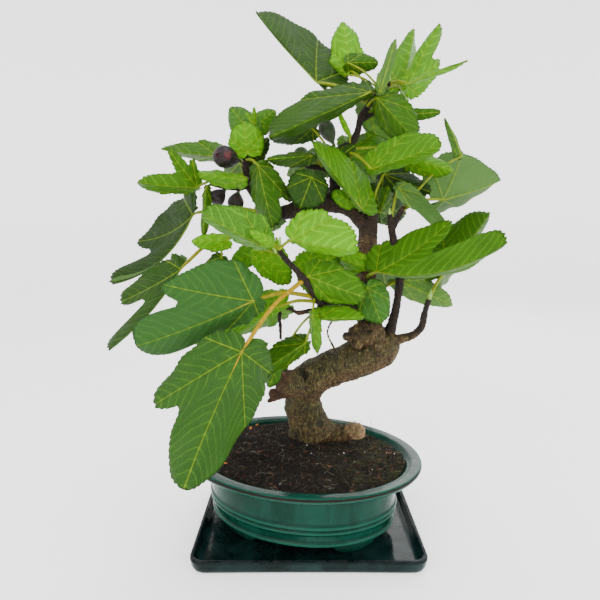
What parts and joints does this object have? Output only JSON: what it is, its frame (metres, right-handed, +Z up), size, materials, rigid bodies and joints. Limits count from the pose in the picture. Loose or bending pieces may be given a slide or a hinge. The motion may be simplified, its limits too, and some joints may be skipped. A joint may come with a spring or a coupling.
{
  "type": "bonsai tree in a pot",
  "caption": "Small fig tree grown as a bonsai: bent trunk, lobed leaves and young figs, in soil in an oval glazed pot on a rectangular drip saucer.",
  "frame": {"origin": "on the flat underside of the saucer, straight below the middle of the pot, at the surface it stands on", "axes": "+Z up along the tree's height, +X to the right as seen from the front, -Y to the front"},
  "size_m": [0.4714, 0.2602, 0.6131],
  "materials": {
    "saucer_glaze": "gloss",
    "pot_glaze": "gloss",
    "screen": "matte",
    "soil": "matte",
    "bark": "matte",
    "fig_skin": "satin",
    "leaf_green": "satin",
    "leaf_lime": "satin",
    "leaf_underside": "matte"
  },
  "bodies": {
    "root": {"saucer": "saucer_glaze", "pot": "pot_glaze", "drain_screen_left": "screen", "drain_screen_right": "screen", "soil": "soil", "wood": "bark", "fig_purple_left": "fig_skin", "fig_left_low": "fig_skin", "fig_left_back": "fig_skin", "fig_centre_top": "fig_skin", "fig_centre_green": "fig_skin", "leaf_front_big": "leaf_green", "leaf_front_left_blue": "leaf_green", "leaf_under_left": "leaf_green", "leaf_far_left_upper": "leaf_green", "leaf_far_left_lower": "leaf_green", "leaf_mid_left_top": "leaf_green", "leaf_lime_centre": "leaf_lime", "leaf_mid_left_low": "leaf_green", "leaf_mid_right": "leaf_green", "leaf_low_right_small": "leaf_green", "leaf_low_folded": "leaf_lime", "leaf_low_dark": "leaf_green", "leaf_back_of_mid": "leaf_green", "leaf_by_trunk": "leaf_green", "leaf_right_big": "leaf_green", "leaf_grey_round": "leaf_underside", "leaf_right_low": "leaf_green", "leaf_right_under": "leaf_green", "leaf_right_grey": "leaf_underside", "leaf_right_hanging": "leaf_underside", "leaf_right_dark": "leaf_green", "leaf_right_top": "leaf_lime", "leaf_right_top_lime": "leaf_lime", "leaf_right_top_back": "leaf_green", "leaf_top_mid": "leaf_green", "leaf_top_right_a": "leaf_lime", "leaf_top_right_b": "leaf_lime", "leaf_top_right_c": "leaf_lime", "leaf_top_edge_on": "leaf_underside", "leaf_top_left_big": "leaf_green", "leaf_top_lime": "leaf_lime", "leaf_top_front_big": "leaf_green", "leaf_left_lime_round": "leaf_lime", "leaf_left_back_a": "leaf_green", "leaf_left_back_b": "leaf_green", "leaf_left_point": "leaf_lime", "leaf_left_lobed": "leaf_green", "leaf_left_lime": "leaf_lime", "leaf_left_dark_small": "leaf_green", "leaf_left_hanging": "leaf_green", "leaf_left_narrow": "leaf_green", "leaf_left_low_small": "leaf_lime", "leaf_left_low_hanging": "leaf_green", "leaf_centre_dark": "leaf_green", "leaf_centre_round": "leaf_green", "leaf_centre_fold": "leaf_green", "leaf_centre_big": "leaf_green", "leaf_centre_low": "leaf_underside"}
  },
  "joints": []
}
